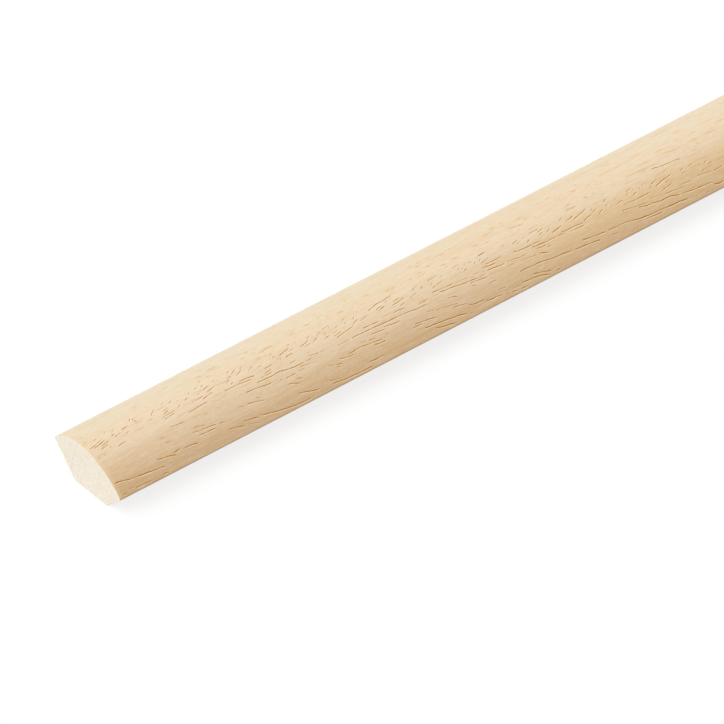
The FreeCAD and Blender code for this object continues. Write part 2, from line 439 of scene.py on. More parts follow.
FAINT_PORES = (
    (0.3, 10.6, 2.2, 10.3), (0.6, 16.2, 1.9, 16.1), (2.5, 16.1, 3.7, 16.4), (3.2, 26.0, 4.8, 26.1),
    (5.2, 15.1, 5.8, 14.9), (14.9, 10.1, 15.5, 9.75), (15.1, 12.3, 15.5, 12.0), (17.6, 20.4, 19.3, 20.6),
    (22.5, 13.0, 24.3, 12.5), (23.4, 11.0, 24.3, 10.6), (25.1, 21.2, 26.8, 21.4),
    (25.3, 11.6, 26.4, 11.1), (26.5, 13.75, 27.2, 13.5), (27.2, 12.2, 27.9, 11.95),
    (32.4, 13.25, 33.4, 13.0), (33.1, 11.35, 33.9, 11.1), (33.6, 12.7, 34.1, 12.5),
    (34.9, 11.5, 35.6, 11.3), (38.8, 20.7, 40.5, 21.15), (39.0, 25.4, 41.5, 26.0), (40.3, 14.0, 41.8, 13.6),
    (44.0, 13.4, 45.5, 12.9, 46.3, 12.45), (44.3, 20.7, 45.3, 21.0), (47.2, 14.1, 48.0, 13.4, 49.0, 13.2),
    (50.1, 14.1, 51.1, 13.95), (52.5, 19.5, 53.8, 19.65), (54.5, 12.65, 55.5, 12.25),
    (55.9, 14.95, 56.4, 14.75), (57.3, 19.75, 59.7, 19.7), (59.6, 14.0, 60.8, 13.9),
    (60.0, 12.4, 60.8, 12.2), (61.3, 18.35, 63.0, 18.35), (62.7, 17.6, 65.2, 17.95),
    (63.6, 15.0, 65.2, 14.7), (65.3, 21.9, 67.0, 22.2), (66.0, 17.9, 66.8, 18.0), (67.2, 23.0, 67.9, 23.2),
    (69.8, 14.4, 70.6, 14.15), (70.4, 12.75, 72.0, 12.7, 72.6, 12.5), (70.5, 18.5, 74.7, 18.5),
    (71.4, 15.05, 73.3, 15.05), (71.6, 16.0, 73.9, 15.65), (71.9, 13.25, 72.4, 13.0),
    (73.3, 14.2, 74.0, 13.85), (75.9, 14.35, 76.5, 14.1), (76.2, 20.5, 78.2, 20.65),
    (76.3, 13.1, 77.2, 12.9), (79.8, 15.6, 82.2, 15.1), (80.6, 13.1, 81.1, 12.9), (83.2, 21.3, 83.9, 21.5),
    (90.2, 15.0, 92.3, 14.85), (91.3, 24.0, 92.8, 24.2), (94.3, 16.3, 96.8, 15.7),
    (98.4, 21.8, 99.8, 21.95), (101.2, 14.3, 104.4, 14.0), (105.0, 15.0, 105.7, 14.7),
    (105.5, 26.1, 107.0, 26.4), (108.8, 14.3, 110.5, 14.1, 111.3, 14.05), (113.2, 14.85, 114.4, 15.0),
    (114.5, 22.05, 116.9, 22.0), (114.7, 18.7, 115.9, 18.75), (116.0, 24.3, 118.2, 24.55),
    (116.1, 16.5, 118.8, 16.2), (116.6, 25.9, 118.5, 26.2), (119.5, 25.6, 122.2, 25.7),
    (121.3, 20.4, 123.6, 20.5), (121.5, 19.25, 125.0, 19.5, 126.5, 19.7, 128.1, 19.65),
    (123.8, 15.35, 124.4, 15.05), (125.5, 20.5, 130.3, 21.05), (129.6, 16.0, 130.3, 15.6),
    (134.0, 16.9, 135.4, 16.6), (140.9, 15.9, 142.3, 15.6), (151.0, 25.1, 153.0, 25.3),
    (156.5, 19.1, 159.0, 18.8), (157.0, 17.8, 157.7, 17.65), (159.4, 25.3, 160.5, 25.4),
    (162.6, 17.8, 163.3, 17.5),
    (165.3, 21.4, 169.3, 21.9), (171.5, 19.9, 173.3, 19.55), (174.5, 22.0, 178.5, 22.3),
    (176.9, 19.8, 178.8, 19.5), (179.9, 18.75, 181.4, 18.5),
    (182.3, 21.6, 183.6, 21.1), (182.4, 19.9, 183.1, 19.5), (184.5, 21.5, 186.0, 21.0),
)
STRONG_MARKS = (
    (51.1, 11.85, 52.7, 11.65), (53.2, 10.4, 54.5, 10.25, 55.5, 10.15, 57.9, 10.2),
    (76.6, 10.6, 78.7, 10.9), (90.6, 11.2, 93.9, 11.45), (103.9, 10.3, 105.6, 10.55),
    (107.1, 11.95, 108.9, 12.35), (110.2, 11.7, 112.0, 12.05, 113.3, 12.2), (117.4, 11.2, 119.4, 11.5),
    (128.1, 11.6, 130.0, 11.65, 133.0, 12.05), (144.0, 14.4, 147.5, 14.55), (150.9, 13.5, 151.8, 13.65),
)
SOFT_MARKS = (
    (0.8, 8.4, 2.2, 8.5), (17.2, 18.9, 18.6, 19.0), (18.0, 7.0, 19.1, 7.1), (18.0, 13.3, 19.1, 13.3),
    (30.5, 18.65, 31.4, 18.7), (35.2, 8.0, 36.5, 8.1, 38.0, 8.5), (35.4, 9.8, 36.2, 9.6),
    (37.6, 9.5, 39.4, 9.65), (39.2, 7.4, 43.0, 7.5), (48.5, 9.4, 49.4, 9.5), (50.5, 9.6, 52.6, 9.75),
    (50.5, 8.2, 51.5, 8.2), (61.2, 12.5, 62.2, 12.5), (63.0, 9.75, 64.4, 9.8), (67.7, 9.3, 69.3, 9.5),
    (73.8, 9.8, 74.8, 9.7), (80.8, 8.05, 81.7, 7.8), (85.6, 9.6, 87.5, 9.8), (97.9, 11.25, 99.0, 11.35),
    (100.7, 10.9, 103.2, 11.0), (100.9, 7.6, 101.9, 7.6), (102.0, 8.75, 103.9, 8.8),
    (103.0, 7.5, 104.3, 7.4), (105.4, 7.6, 108.0, 7.6), (109.8, 8.9, 110.9, 8.9), (111.7, 8.4, 113.3, 8.5),
    (120.8, 12.1, 122.4, 12.15), (125.4, 8.7, 126.9, 8.6), (128.4, 8.4, 129.4, 8.6),
    (131.8, 10.0, 134.9, 10.05), (134.0, 10.9, 135.6, 11.05), (140.0, 8.3, 141.2, 8.3),
    (143.4, 8.3, 144.6, 8.3), (145.3, 8.1, 146.4, 8.2), (145.4, 13.1, 147.3, 13.3),
    (148.2, 13.5, 150.0, 13.5), (149.9, 10.2, 150.9, 10.2), (152.1, 8.5, 153.1, 8.5),
    (152.5, 13.8, 154.0, 13.8),
)
PALE_MARKS = (
    (163.8, 13.55, 165.8, 13.8, 168.0, 13.8, 171.0, 14.15, 175.0, 14.6),
    (176.6, 12.3, 178.8, 12.95, 181.3, 13.15), (178.8, 11.2, 180.0, 11.9, 181.4, 12.2),
    (182.3, 10.6, 183.4, 10.8), (184.1, 10.3, 185.1, 10.3), (185.8, 12.8, 187.4, 12.75),
    (186.0, 14.35, 187.1, 14.55), (187.2, 10.5, 189.0, 10.8), (188.3, 12.8, 192.5, 13.1, 193.5, 13.5),
)


class Kind(NamedTuple):
    """A kind of groove: how wide its upper and lower walls are, how deep it is, how far it takes at each end
    to reach its full width, whether its lower wall, which faces the light, gets a painted highlight while
    its upper wall is dark up to its rim, and whether it is only the stain of a closed pore."""

    above: float
    below: float
    depth: float
    taper: float
    painted_highlight_below: bool
    stain: bool = False

    @property
    def reach(self):
        return WIDEST_SWELL * (self.above + self.below) / 2

    def taper_share(self, length):
        """The share of a groove's length that it takes at each end to reach its full width."""
        return min(self.taper / length, STAIN_TAPER_SHARE if self.stain else PORE_TAPER_SHARE)


OPEN_PORE = Kind(0.155, 0.24, 0.10, 0.45, True)
LOW_PORE = Kind(0.195, 0.21, 0.09, 0.45, True)
CROWN_PORE = Kind(0.16, 0.19, 0.08, 0.45, True)
SLIGHT_PORE = Kind(0.14, 0.17, 0.055, 0.45, True)
CLOSED_MARK = Kind(0.38, 0.38, 0.02, 1.6, False, True)
LEG_PORE = Kind(0.11, 0.11, 0.07, 0.45, False)
WIDEST_KIND = CLOSED_MARK

# What is cut along each placed list, and the range of its darkness
PLACED = (
    (CROWN_PORES, CROWN_PORE, 0.85, 1.0),
    (FLANK_PORES, OPEN_PORE, 0.85, 1.0),
    (LOW_PORES, LOW_PORE, 0.90, 1.0),
    (FAINT_PORES, SLIGHT_PORE, 0.75, 1.0),
    (STRONG_MARKS, CLOSED_MARK, 0.65, 0.85),
    (SOFT_MARKS, CLOSED_MARK, 0.50, 0.70),
    (PALE_MARKS, CLOSED_MARK, 0.30, 0.45),
)

# What is strewn over the face, by zones of arc from the middle of the feathered band: the kind, the zone's
# two sides, how many there are in a millimetre of strip, their middle length, tilt, spread and darkness
STREWN = (
    (CLOSED_MARK, -9.0, -3.0, 0.26, 1.6, -1.0, 4.0, 0.5),
    (SLIGHT_PORE, -8.0, -1.5, 0.30, 1.1, 3.0, 6.0, 0.6),
    (SLIGHT_PORE, -1.5, 1.5, 0.35, 1.4, 10.0, 6.0, 0.8),
    (OPEN_PORE, 1.5, 5.0, 0.45, 2.6, -1.0, 3.5, 0.85),
    (OPEN_PORE, 5.0, 9.0, 0.22, 3.6, -6.0, 3.0, 0.9),
    (LOW_PORE, 9.0, 14.0, 0.28, 3.9, -6.0, 2.5, 1.0),
)
LONGEST_PORE = 22.0

# The share of the strewn pores that the placed stretch goes without, how dark the rest is there, and how
# far from the near end there are none
PLACED_SKIP = 0.75
PLACED_FADE = 0.6
CALM_LENGTH = 50.0


class Pores:
    """The pores that are cut into the mesh, each a slim groove along a slightly wandering line."""

    # The side of the squares that sort the places which grooves have taken
    CELL = 0.5

    def __init__(self):
        self.taken = {}
        self.grooves = []

    def keep_within(self, low, high):
        """The part of the outline that the next grooves stay on."""
        self.low = low
        self.high = high

    def near(self, x, r, margin):
        """Whether a place lies within a margin of any groove's walls."""
        span = int((margin + WIDEST_KIND.reach) / self.CELL) + 1
        cx, cr = int(x / self.CELL), int(r / self.CELL)
        for i in range(cx - span, cx + span + 1):
            for j in range(cr - span, cr + span + 1):
                for ox, oy, reach in self.taken.get((i, j), ()):
                    if (ox - x) ** 2 + (oy - r) ** 2 < (reach + margin) ** 2:
                        return True
        return False

    def cut(self, points, kind, darkness):
        """A groove through points of x and round, left out where it would meet another or leave the face."""
        points = np.array(points)
        along = np.concatenate(([0.0], np.cumsum(np.hypot(*np.diff(points, axis=0).T))))
        length = along[-1]
        tapered = kind.taper_share(length) * length
        phase = RNG.uniform(0, 1000)
        sway = min(SWAY, SWAY_SHARE * length)
        lines = [[]]
        for place in np.linspace(0, length, max(3, 1 + round(length / LINE_STEP))):
            wander = sway * noise.noise((phase, place / SWAY_LENGTH, 0))
            x = float(np.interp(place, along, points[:, 0]))
            r = float(np.interp(place, along, points[:, 1])) + wander
            reach = kind.reach * min(1.0, END_ROOM + min(place, length - place) / tapered)
            if self.on_face(x, r, kind) and not self.near(x, r, reach):
                lines[-1].append((x, r, reach))
            elif lines[-1]:
                lines.append([])
        for line in lines:
            if len(line) > 2:
                self.grooves.append(([(x, r) for x, r, _ in line], kind, darkness, phase))
                self.take(line)

    def take(self, line):
        """Sorts a groove's places, each with its reach, into their squares."""
        for x, r, reach in line:
            self.taken.setdefault((int(x / self.CELL), int(r / self.CELL)), []).append((x, r, reach))

    def on_face(self, x, r, kind):
        """Whether a groove of a kind may run through a place, clear of the borders of the face."""
        low = self.low + WIDEST_SWELL * kind.above
        high = self.high - WIDEST_SWELL * kind.below
        return low < r < high and GROOVE_MARGIN < x < LENGTH - GROOVE_MARGIN

    def dash(self, x, r, length, tilt, kind, darkness):
        """Adds a groove by its middle. A positive tilt brings the far end nearer to the wall leg."""
        along = length / 2 * math.cos(math.radians(tilt))
        down = length / 2 * math.sin(math.radians(tilt))
        self.cut(((x - along, r + down), (x + along, r - down)), kind, darkness)

    def feather(self, x, r, count, length, tilt):
        """Short pores one below another, each set off a little along the strip."""
        for k in range(count):
            lower = k - (count - 1) / 2
            self.dash(
                x + lower * FEATHER_LEAN + RNG.gauss(0, FEATHER_STRAY_ALONG * length),
                r + lower * FEATHER_STEP + RNG.gauss(0, FEATHER_STRAY_ROUND),
                length * RNG.uniform(0.6, 1.4),
                tilt + RNG.gauss(0, 1.5),
                CROWN_PORE,
                RNG.uniform(0.5, 1.0),
            )


def smooth(low, high, value):
    t = min(1.0, max(0.0, (value - low) / (high - low)))
    return t * t * (3 - 2 * t)


def band_middle(x):
    """The arc at the middle of the feathered band, which drifts round the face along the strip."""
    placed = BAND_START + BAND_GAIN * min(x, PLACED_LENGTH) / PLACED_LENGTH
    strewn = BAND_MEAN + BAND_SWING * noise.noise((x / BAND_SWING_LENGTH, 2.7, 0))
    beyond = smooth(PLACED_LENGTH, PLACED_LENGTH + BAND_BLEND_LENGTH, x)
    return placed + beyond * (strewn - placed)


def add_placed_pores(pores, tip):
    """The listed lines, each a little longer at both ends, where its groove only begins."""
    for lines, kind, palest, darkest in PLACED:
        below_line = 0.0 if kind.stain else kind.above / 2
        for line in lines:
            points = np.array(line).reshape(-1, 2) + (0.0, tip + below_line)
            for end, inner in ((0, 1), (-1, -2)):
                out = points[end] - points[inner]
                points[end] += out / np.linalg.norm(out) * RUN_OUT * kind.taper
            pores.cut(points, kind, RNG.uniform(palest, darkest))


def add_feathers(pores, tip):
    """Feathers in their band over the crown, from the end of the placed stretch on."""
    x = PLACED_LENGTH
    while x < LENGTH:
        x += FEATHER_SPACING * RNG.uniform(0.5, 1.5)
        r = tip + band_middle(x) + RNG.gauss(0, FEATHER_STRAY)
        length = RNG.uniform(*FEATHER_LENGTHS)
        count = RNG.randint(*FEATHER_PORES)
        pores.feather(x, r, count, length, RNG.uniform(*FEATHER_TILTS) / math.sqrt(length))


def strew_pores(pores, tip):
    """Loose pores and marks over the whole face, few and faint along the placed stretch."""
    for kind, low, high, per_length, middle, tilt, spread, darkness in STREWN:
        for _ in range(round(per_length * LENGTH)):
            x = RNG.uniform(STREWN_MARGIN, LENGTH - STREWN_MARGIN)
            r = tip + band_middle(x) + RNG.uniform(low, high)
            shade = darkness * RNG.uniform(0.5, 1.1)
            if x < PLACED_LENGTH:
                if not kind.stain and (RNG.random() < PLACED_SKIP or x < CALM_LENGTH):
                    continue
                shade *= PLACED_FADE
            length = min(LONGEST_PORE, RNG.lognormvariate(math.log(middle), 0.65))
            pores.dash(x, r, length, RNG.gauss(tilt, spread), kind, shade)


def add_leg_pores(pores, low, high):
    """Pores of a planed leg, sparser and nearly straight."""
    pores.keep_within(low + LEG_MARGIN, high - LEG_MARGIN)
    along, across = LEG_PATCH
    least, middle, greatest = LEG_PORE_LENGTHS
    for _ in range(int(LENGTH * (high - low) * LEG_PORES_PER_AREA)):
        x = RNG.uniform(STREWN_MARGIN, LENGTH - STREWN_MARGIN)
        r = RNG.uniform(low, high)
        if noise.noise((x / along, r / across, 5.5)) < LEG_PATCH_BARE:
            continue
        length = min(greatest, max(least, RNG.lognormvariate(math.log(middle), 0.6)))
        pores.dash(x, r, length, RNG.gauss(0.5, 2.5), LEG_PORE, RNG.uniform(0.3, 0.8))


def make_pores(outline):
    """All pores of the strip, the rounded face's first."""
    pores = Pores()
    pores.keep_within(outline.round[outline.face_from], outline.round[outline.face_to])
    add_placed_pores(pores, outline.sharp_tip)
    add_feathers(pores, outline.sharp_tip)
    strew_pores(pores, outline.sharp_tip)
    add_leg_pores(pores, outline.round[outline.wall_leg_from], outline.round[outline.wall_leg_to])
    add_leg_pores(pores, outline.round[outline.floor_leg_from], outline.round[outline.floor_leg_to])
    return pores


class StripMesh:
    """Gathers flat points of the unrolled surface, joins them into triangles and rolls them up."""

    def __init__(self, outline, pores):
        self.outline = outline
        self.pores = pores
        self.flat = []
        self.edges = []
        self.values = []

    def add(self, x, r, depth=0.0, dark=0.0, stain=0.0):
        """Takes one more flat point: its depth, its darkness or, below zero, its painted highlight, and its
        stain.
        """
        self.flat.append((x, r))
        self.values.append((depth, dark, stain))
        return len(self.flat) - 1

    def add_rows(self):
        """Rows of points across the strip, left out near a groove, and edges along the faces' borders."""
        outline = self.outline
        rows = round((LENGTH - 2 * SAW_EASE) / ROW_SPACING)
        self.rows = np.linspace(SAW_EASE, LENGTH - SAW_EASE, rows + 1)
        self.round_columns = outline.round[outline.columns]
        self.kept = {}
        for j, r in enumerate(self.round_columns):
            border = outline.columns[j] in outline.borders
            for i, x in enumerate(self.rows):
                if border or i in (0, rows) or not self.pores.near(x, r, ROW_CLEARANCE):
                    self.kept[i, j] = here = self.add(float(x), float(r))
                    if border and i:
                        self.edges.append((previous, here))
                    previous = here

    def add_groove(self, line, kind, darkness, phase):
        """Two rims that meet at both ends, and a line of deepest points between them."""
        line = np.array(line)
        length = np.hypot(*(line[-1] - line[0]))
        blunt = kind.taper_share(length)
        spacing = PLACED_STATION_SPACING if line[0][0] < PLACED_LENGTH else STATION_SPACING
        inner = np.linspace(blunt, 1 - blunt, max(2, 1 + round(length / spacing)))
        places = np.concatenate(([0.0], inner, [1.0])) * (len(line) - 1)
        counted = np.arange(len(line))
        path = np.column_stack([np.interp(places, counted, line[:, axis]) for axis in (0, 1)])
        # A groove whose lower wall gets a painted highlight is coloured from rim to rim, and any other only
        # at its deepest
        rims = 1.0 if kind.painted_highlight_below else 0.0
        start = self.add(*path[0], 0.0, darkness * SHADE_AT_ENDS * rims)
        lanes = [start, start, start]
        for k in range(1, len(places) - 1):
            along = path[k + 1] - path[k - 1]
            across = np.array((-along[1], along[0])) / np.linalg.norm(along)
            swell = min(WIDEST_SWELL, 1.0 + SWELL * noise.noise((phase, k * 0.9, 4.0)))
            swing = SHADE_SWING * noise.noise((phase, k * 0.8, 9.0))
            shade = darkness * min(1.0, max(SHADE_LEAST, SHADE_MEAN + swing))
            dark, stain = (0.0, shade) if kind.stain else (shade, 0.0)
            here = (
                self.add(*(path[k] - across * kind.above * swell), 0.0, shade * rims),
                self.add(*path[k], kind.depth * swell, dark, stain),
                self.add(*(path[k] + across * kind.below * swell), 0.0, -HIGHLIGHT_SHARE * shade * rims),
            )
            self.edges += zip(lanes, here)
            lanes = here
        end = self.add(*path[-1], 0.0, darkness * SHADE_AT_ENDS * rims)
        self.edges += [(lane, end) for lane in lanes]

    def triangulate(self):
        """Triangles between the flat points, with the kept edges. A point that this adds has no value."""
        flat = [Vector((r, x * SQUEEZE)) for x, r in self.flat]
        verts, _, faces, origins, _, _ = delaunay_2d_cdt(flat, self.edges, [], 0, SAME_POINT, True)
        source = np.array([o[0] if o else -1 for o in origins])
        self.of_input = {s: v for v, s in enumerate(source) if s >= 0}
        self.x = np.array([v.y / SQUEEZE for v in verts])
        self.r = np.array([v.x for v in verts])
        self.depth, self.dark, self.stain = np.where(source < 0, 0.0, np.array(self.values)[source].T)
        self.faces = np.array(faces)

    def rolled(self):
        """Places and outward normals round the section, the near end at -LENGTH / 2."""
        points, normals = self.outline.at(self.r)
        points = points - normals * self.depth[:, None]
        x = self.x - LENGTH / 2
        return np.column_stack((x, points)), np.column_stack((np.zeros_like(x), normals))

    def number(self):
        """Each flat point's number in the mesh, where the last column is the first one again."""
        spare = [self.vertex(row, -1) for row in range(len(self.rows))]
        first = [self.vertex(row, 0) for row in range(len(self.rows))]
        kept = np.ones(len(self.x), bool)
        kept[spare] = False
        number = np.cumsum(kept) - 1
        number[spare] = number[first]
        return number, kept

    def vertex(self, row, column):
        """The flat point of a row at a column, as numbered after the joining."""
        return self.of_input[self.kept[row, column % len(self.round_columns)]]

    def ends(self, number, first):
        """Sawn ends, each a narrow eased ring and a flat cap: their new points and their faces."""
        columns = self.outline.columns[:-1]
        count = len(columns)
        inset = self.outline.points[columns] - self.outline.normals[columns] * SAW_EASE
        points, rings, caps = [], [], []
        for end, row in ((-1, 0), (1, len(self.rows) - 1)):
            inner = [first + len(points) + j for j in range(count)]
            outer = [int(number[self.vertex(row, j)]) for j in range(count)]
            points += [(end * LENGTH / 2, y, z) for y, z in inset]
            for j in range(count):
                k = (j + 1) % count
                quad = [outer[j], outer[k], inner[k], inner[j]]
                rings.append(quad[::end])
            caps.append(inner[::end])
        return points, rings, caps

    def build(self, name):
        self.add_rows()
        for groove in self.pores.grooves:
            self.add_groove(*groove)
        self.triangulate()
        places, normals = self.rolled()
        number, kept = self.number()
        points, rings, caps = self.ends(number, int(kept.sum()))
        places = np.vstack((places[kept], points)) * MM
        mesh = bpy.data.meshes.new(name)
        mesh.from_pydata(places.tolist(), [], number[self.faces].tolist() + rings + caps)
        self.set_materials(mesh)
        self.set_pores(mesh)
        self.set_bake_map(mesh)
        self.set_normals(mesh, normals)
        return mesh

    def set_materials(self, mesh):
        """Slot 0 on the rounded face and its tips, 1 on the legs and the bevel, 2 on the sawn ends."""
        round_of = self.r[self.faces].mean(axis=1)
        outline = self.outline
        from_leg = outline.round[outline.wall_leg_to]
        to_leg = outline.round[outline.floor_leg_from]
        slots = np.full(len(mesh.polygons), 2)
        slots[: len(self.faces)] = np.where((round_of > from_leg) & (round_of < to_leg), 0, 1)
        mesh.polygons.foreach_set("material_index", slots)
        mesh.polygons.foreach_set("use_smooth", np.ones(len(slots), bool))

    def set_pores(self, mesh):
        """How dark each groove is at its own faces' corners, and below zero how strong the painted
        highlight on its lower wall is.
        """
        self.grooved = (self.depth[self.faces] > 0).any(axis=1)
        dark = self.dark[self.faces]
        palest = dark.min(axis=1)[:, None]
        pore_and_highlight = np.where(palest < 0, palest, dark) * self.grooved[:, None]
        for name, values in (("pore_and_highlight", pore_and_highlight), ("stain", self.stain[self.faces])):
            data = np.zeros(len(mesh.loops), np.float32)
            data[: values.size] = values.ravel()
            mesh.attributes.new(name, "FLOAT", "CORNER").data.foreach_set("value", data)

    def set_normals(self, mesh, normals):
        """The section's own normals, except in grooves and on the ends, which keep their faces' normals."""
        total = len(mesh.polygons)
        of_faces = np.zeros(total * 3, np.float32)
        sizes = np.zeros(total, np.int32)
        mesh.polygons.foreach_get("normal", of_faces)
        mesh.polygons.foreach_get("loop_total", sizes)
        of_faces = of_faces.reshape(-1, 3)
        of_corners = np.repeat(of_faces, sizes, axis=0)
        own = of_faces[: len(self.faces), None]
        skin = np.where(self.grooved[:, None, None], own, normals[self.faces]).reshape(-1, 3)
        of_corners[: len(skin)] = skin
        mesh.normals_split_custom_set(of_corners.tolist())

    def set_bake_map(self, mesh):
        """A map for baking: the skin cut into lengths one above another, and the sawn ends above them."""
        part = LENGTH / BAKE_PARTS
        which = np.clip(self.x[self.faces].mean(axis=1) // part, 0, BAKE_PARTS - 1)[:, None]
        skin = self.on_map(self.x[self.faces], self.r[self.faces], which)
        uv = [skin.reshape(-1, 2)]
        for end in (0, 1):
            edge = end * LENGTH
            out = edge + (2 * end - 1) * BAKE_MARGIN / 3
            which = end * (BAKE_PARTS - 1)
            for r0, r1 in zip(self.round_columns, self.round_columns[1:]):
                quad = np.array(((edge, r0), (edge, r1), (out, r1), (out, r0)))
                quad = quad[:: 2 * end - 1]
                uv.append(self.on_map(quad[:, 0], quad[:, 1], which))
        points = self.outline.points[self.outline.columns[:-1]]
        across = (points - points.min(axis=0)) / np.ptp(points, axis=0)
        for end in (0, 1):
            corner = (BAKE_END_AT + BAKE_END_STEP * end, BAKE_SKIN + BAKE_GAP)
            place = corner + across * (BAKE_END_WIDTH, BAKE_END_HEIGHT)
            uv.append(place[:: 2 * end - 1])
        layer = mesh.uv_layers.new(name="OFBake")
        layer.uv.foreach_set("vector", np.vstack(uv).astype(np.float32).ravel())

    def on_map(self, x, r, which):
        """Where a place of the skin lies on the map for baking, in the length that it counts to."""
        part = LENGTH / BAKE_PARTS
        u = (x - which * part + BAKE_MARGIN) / (part + 2 * BAKE_MARGIN)
        v = (which + BAKE_GAP + (1 - 2 * BAKE_GAP) * r / self.round_columns[-1]) / BAKE_PARTS * BAKE_SKIN
        return np.stack((u, v), axis=-1)


class Nodes:
    """Short calls for a material's node tree."""

    def __init__(self, material):
        self.tree = material.node_tree
        self.tree.nodes.clear()

    def add(self, kind, inputs=None, **settings):
        """A node with its settings, and each of its inputs linked to a socket or given a constant value."""
        node = self.tree.nodes.new(kind)
        for name, value in settings.items():
            setattr(node, name, value)
        for name, value in (inputs or {}).items():
            if isinstance(value, bpy.types.NodeSocket):
                self.tree.links.new(value, node.inputs[name])
            else:
                node.inputs[name].default_value = value
        return node

    def math(self, operation, a, b=0.0, clamp=False):
        return self.add("ShaderNodeMath", {0: a, 1: b}, operation=operation, use_clamp=clamp).outputs[0]

    def vector(self, operation, a, b=(0.0, 0.0, 0.0), output="Vector"):
        return self.add("ShaderNodeVectorMath", {0: a, 1: b}, operation=operation).outputs[output]

    def noise(self, vector, scale, detail, roughness, output="Fac"):
        inputs = {"Vector": vector, "Scale": scale, "Detail": detail, "Roughness": roughness}
        return self.add("ShaderNodeTexNoise", inputs).outputs[output]

    def grain(self, place, along, across, detail, roughness, output="Fac"):
        """Noise with one rate along the strip and another across it, by the millimetre."""
        stretched = self.vector("MULTIPLY", place, (along, across, across))
        return self.noise(stretched, 1.0, detail, roughness, output)

    def range(self, value, low, high, to_low=0.0, to_high=1.0, soft=True):
        inputs = {"Value": value, "From Min": low, "From Max": high, "To Min": to_low, "To Max": to_high}
        curve = "SMOOTHSTEP" if soft else "LINEAR"
        return self.add("ShaderNodeMapRange", inputs, interpolation_type=curve).outputs["Result"]

    def mix(self, share, a, b):
        a, b = (c if isinstance(c, bpy.types.NodeSocket) else (*c, 1.0) for c in (a, b))
        return self.add("ShaderNodeMix", {0: share, 6: a, 7: b}, data_type="RGBA").outputs[2]

    def tint(self, colour, *tints):
        """A colour with others mixed in, each by where a texture lies in a range and up to a strength."""
        for texture, low, high, strength, towards in tints:
            colour = self.mix(self.range(texture, low, high, 0.0, strength), colour, towards)
        return colour

    def attribute(self, name):
        node = self.add("ShaderNodeAttribute", attribute_type="GEOMETRY", attribute_name=name)
        return node.outputs["Fac"]

    def millimetres(self):
        """The place in the frame, in millimetres."""
        place = self.add("ShaderNodeTexCoord").outputs["Object"]
        return self.vector("MULTIPLY", place, (1 / MM, 1 / MM, 1 / MM))

    def finish(self, colour, roughness, height, relief, specular):
        """The shader and the output, with a fine relief in millimetres that follows a height."""
        inputs = {"Strength": BUMP_STRENGTH, "Distance": relief * MM, "Height": height}
        bump = self.add("ShaderNodeBump", inputs)
        shader = self.add("ShaderNodeBsdfPrincipled", {
            "Base Color": colour,
            "Roughness": roughness,
            "Normal": bump.outputs["Normal"],
            "Specular IOR Level": specular,
        })
        self.add("ShaderNodeOutputMaterial", {"Surface": shader.outputs[0]})


def new_material(name):
    material = bpy.data.materials.new(name)
    material.use_nodes = True
    return material, Nodes(material)


# Colours, all linear. The rounded face's three: at its crown; towards the wall leg, greyer and cooler, a
# painted sheen where the face is seen at a grazing angle; and down the flank, darker and more saturated,
# partly the wood's deeper tone and partly painted shade of the side that faces away from the lamp.
# OCHRE darkens its streaks and STRAW pales them.
PALE = (0.812, 0.655, 0.460)
PAINTED_SHEEN = (0.755, 0.652, 0.478)
TAN_AND_SHADE = (0.750, 0.505, 0.282)
OCHRE = (0.708, 0.455, 0.220)
STRAW = (0.900, 0.780, 0.580)

# Its deeper patches and the margin beside a sawn end
GOLD = (0.770, 0.500, 0.200)
DUSK = (0.683, 0.469, 0.274)
MARGIN = (0.900, 0.640, 0.350)

# A pore's dark colour on its upper wall, which faces away from the lamp and is partly painted shade, a
# painted highlight on its lower wall, which faces the lamp, and a closed pore's stain
PORE_COLOUR_AND_SHADE = (0.430, 0.152, 0.002)
PAINTED_HIGHLIGHT = (0.970, 0.760, 0.430)
STAIN = (0.600, 0.310, 0.010)

# Wood without a finish, on the legs and the bevel, and then on the sawn ends
BARE = (0.830, 0.730, 0.560)
CREAM = (0.845, 0.792, 0.690)
CHALK = (0.905, 0.885, 0.812)

# Textures, by their rates along and across the strip, in turns to the millimetre, detail and roughness
SLOW = (0.012, 0.06, 2.0, 0.5)
BANDS = (0.010, 0.30, 3.0, 0.55)
LOW_BANDS = (0.02, 0.75, 3.0, 0.55)
STREAKS = (0.045, 1.7, 4.0, 0.6)
FLECKS = (0.22, 1.7, 1.0, 0.5)
FIBRE = (0.35, 2.8, 3.0, 0.6)
GRIT = (1.5, 2.6, 2.0, 0.6)
PLANED_BANDS = (0.012, 0.35, 3.0, 0.55)
PLANED_STREAKS = (0.05, 2.0, 4.0, 0.6)
PLANED_FIBRE = (0.5, 9.0, 3.0, 0.6)
MOTTLE = (0.4, 0.4, 3.0, 0.6)
SPECKS = (2.2, 2.4, 3.0, 0.7)
HOLES = (3.2, 3.2, 0.0, 0.5)

# How far the grain wanders from its straight run, in all
DRIFT = 5.0

# The Y at which a change starts and at which it is full: from the crown to the flank, from the crown to
# the top, and from the flank to its lowest part
CROWN_TO_FLANK = (-1.8, -12.0)
CROWN_TO_TOP = (-1.0, 9.5)
FLANK_TO_LOW = (-8.0, -12.5)

# Deeper patches of the rounded face: a middle by distance from the near end and by Y, half the length, half
# the width, strength and colour
PATCHES = (
    (8.0, -12.6, 20.0, 2.2, 0.80, OCHRE),
    (168.0, -6.8, 60.0, 5.0, 0.40, GOLD),
    (32.0, -10.7, 44.0, 2.0, 0.55, DUSK),
)

# How far from a sawn end the margin's colour starts and is full, and Y between which it gains strength
MARGIN_REACH = (1.3, 0.3)
MARGIN_SIDES = (5.0, -6.0)

